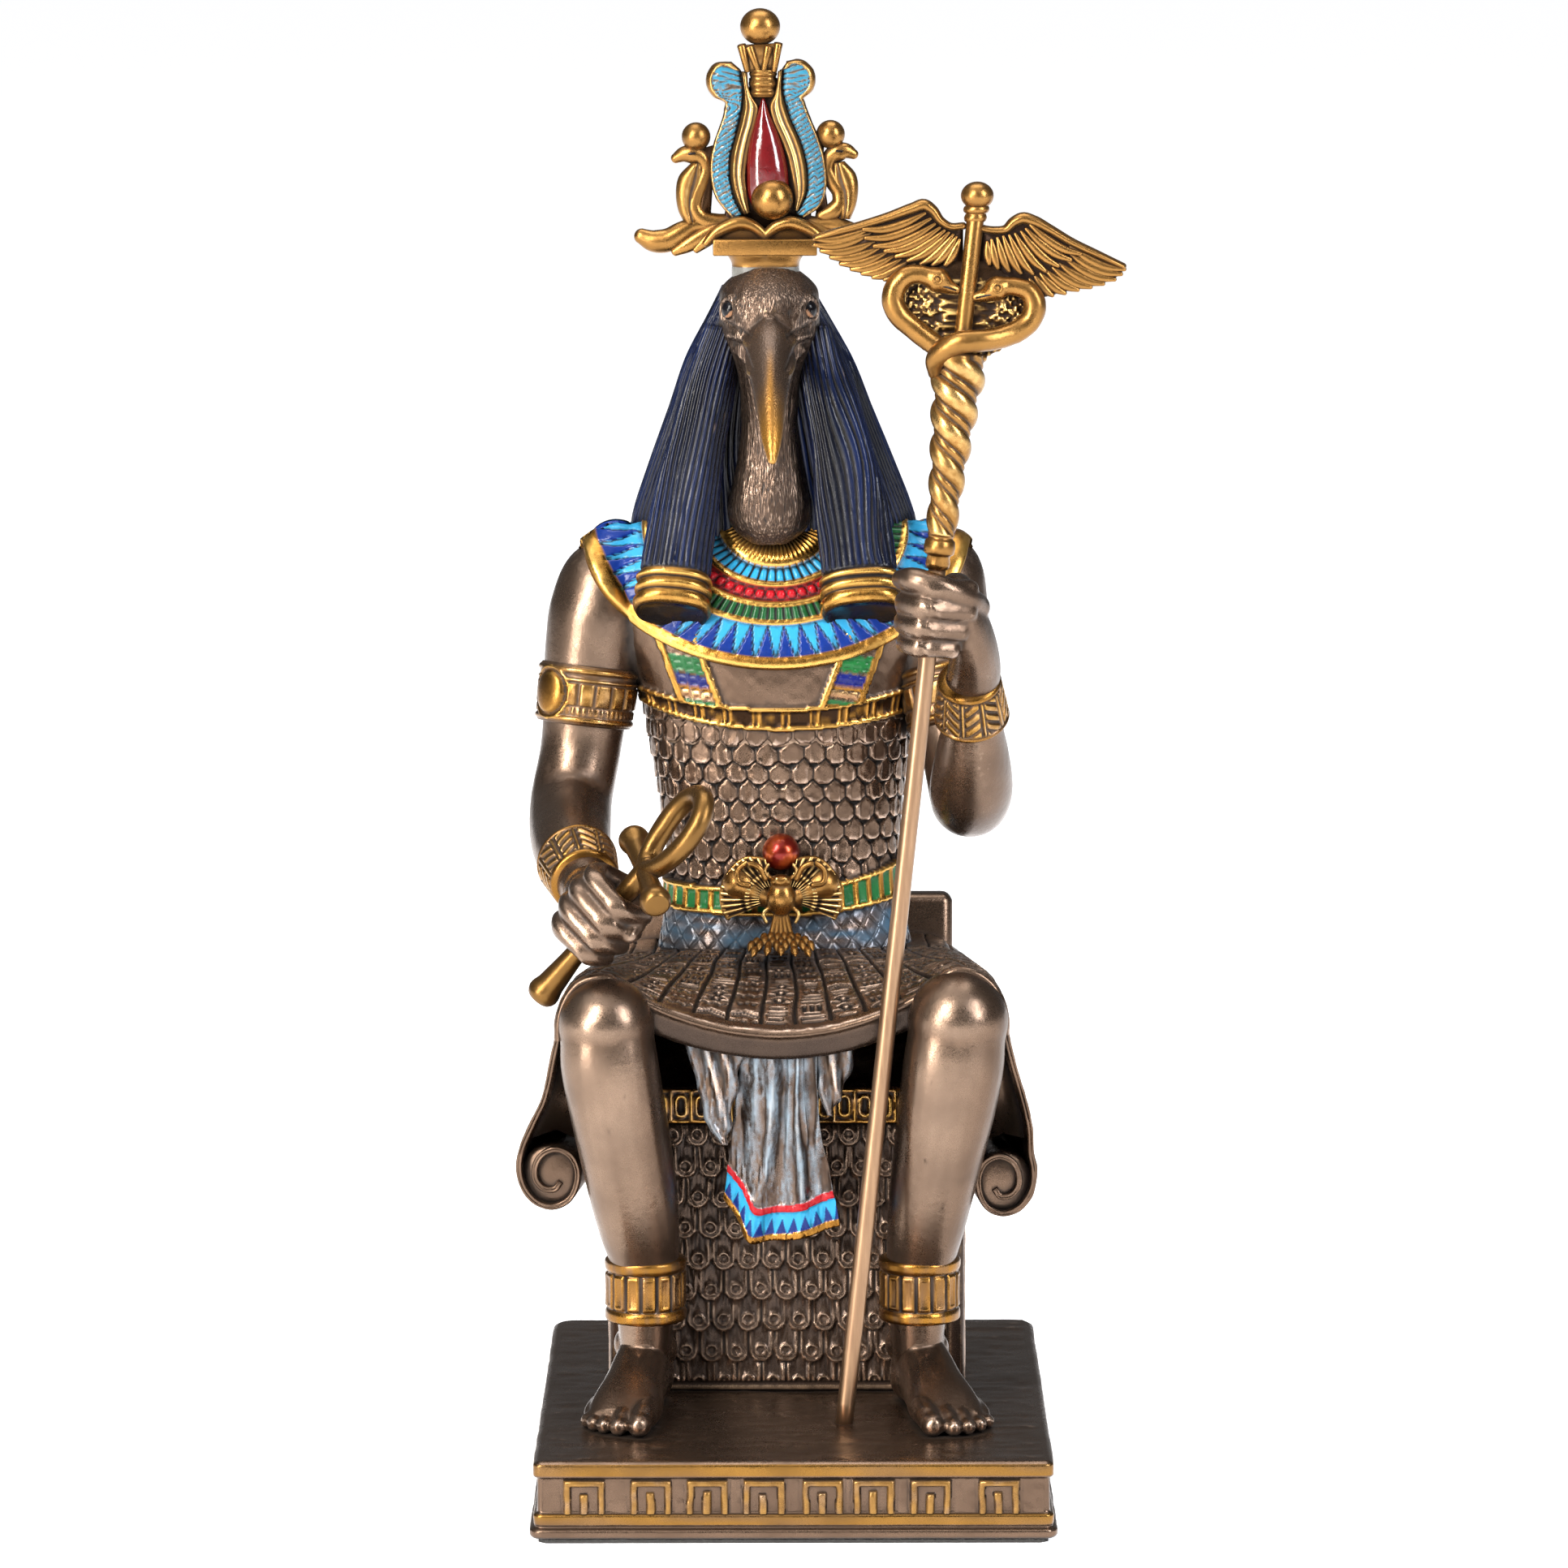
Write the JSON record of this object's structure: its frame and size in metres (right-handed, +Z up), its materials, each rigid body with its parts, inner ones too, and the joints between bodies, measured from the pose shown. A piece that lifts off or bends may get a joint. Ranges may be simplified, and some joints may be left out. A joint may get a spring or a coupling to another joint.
{
  "type": "thoth statue",
  "caption": "Seated ibis-headed Egyptian god on a throne and plinth, with a winged serpent staff and an ankh, in bronze-coloured cast resin picked out in gold and colours.",
  "frame": {"origin": "middle of the underside of the felt pad", "axes": "+Z up, -Y towards the front where the figure faces, +X to the viewer's right"},
  "size_m": [0.115, 0.1254, 0.2792],
  "materials": {
    "felt": "black felt, matt",
    "bronze_resin": "cold-cast bronze resin, dark wash in the hollows and rubbed bright on the edges, painted detail",
    "gold_painted_resin": "cast resin painted antique gold with a dark wash",
    "bronzed_rod": "metal rod with a satin rose-bronze coat"
  },
  "bodies": {
    "root": {"felt_pad": "felt", "plinth": "bronze_resin", "seated_figure": "bronze_resin", "crown": "gold_painted_resin", "staff_rod": "bronzed_rod", "caduceus_head": "gold_painted_resin", "ankh": "gold_painted_resin"}
  },
  "joints": []
}
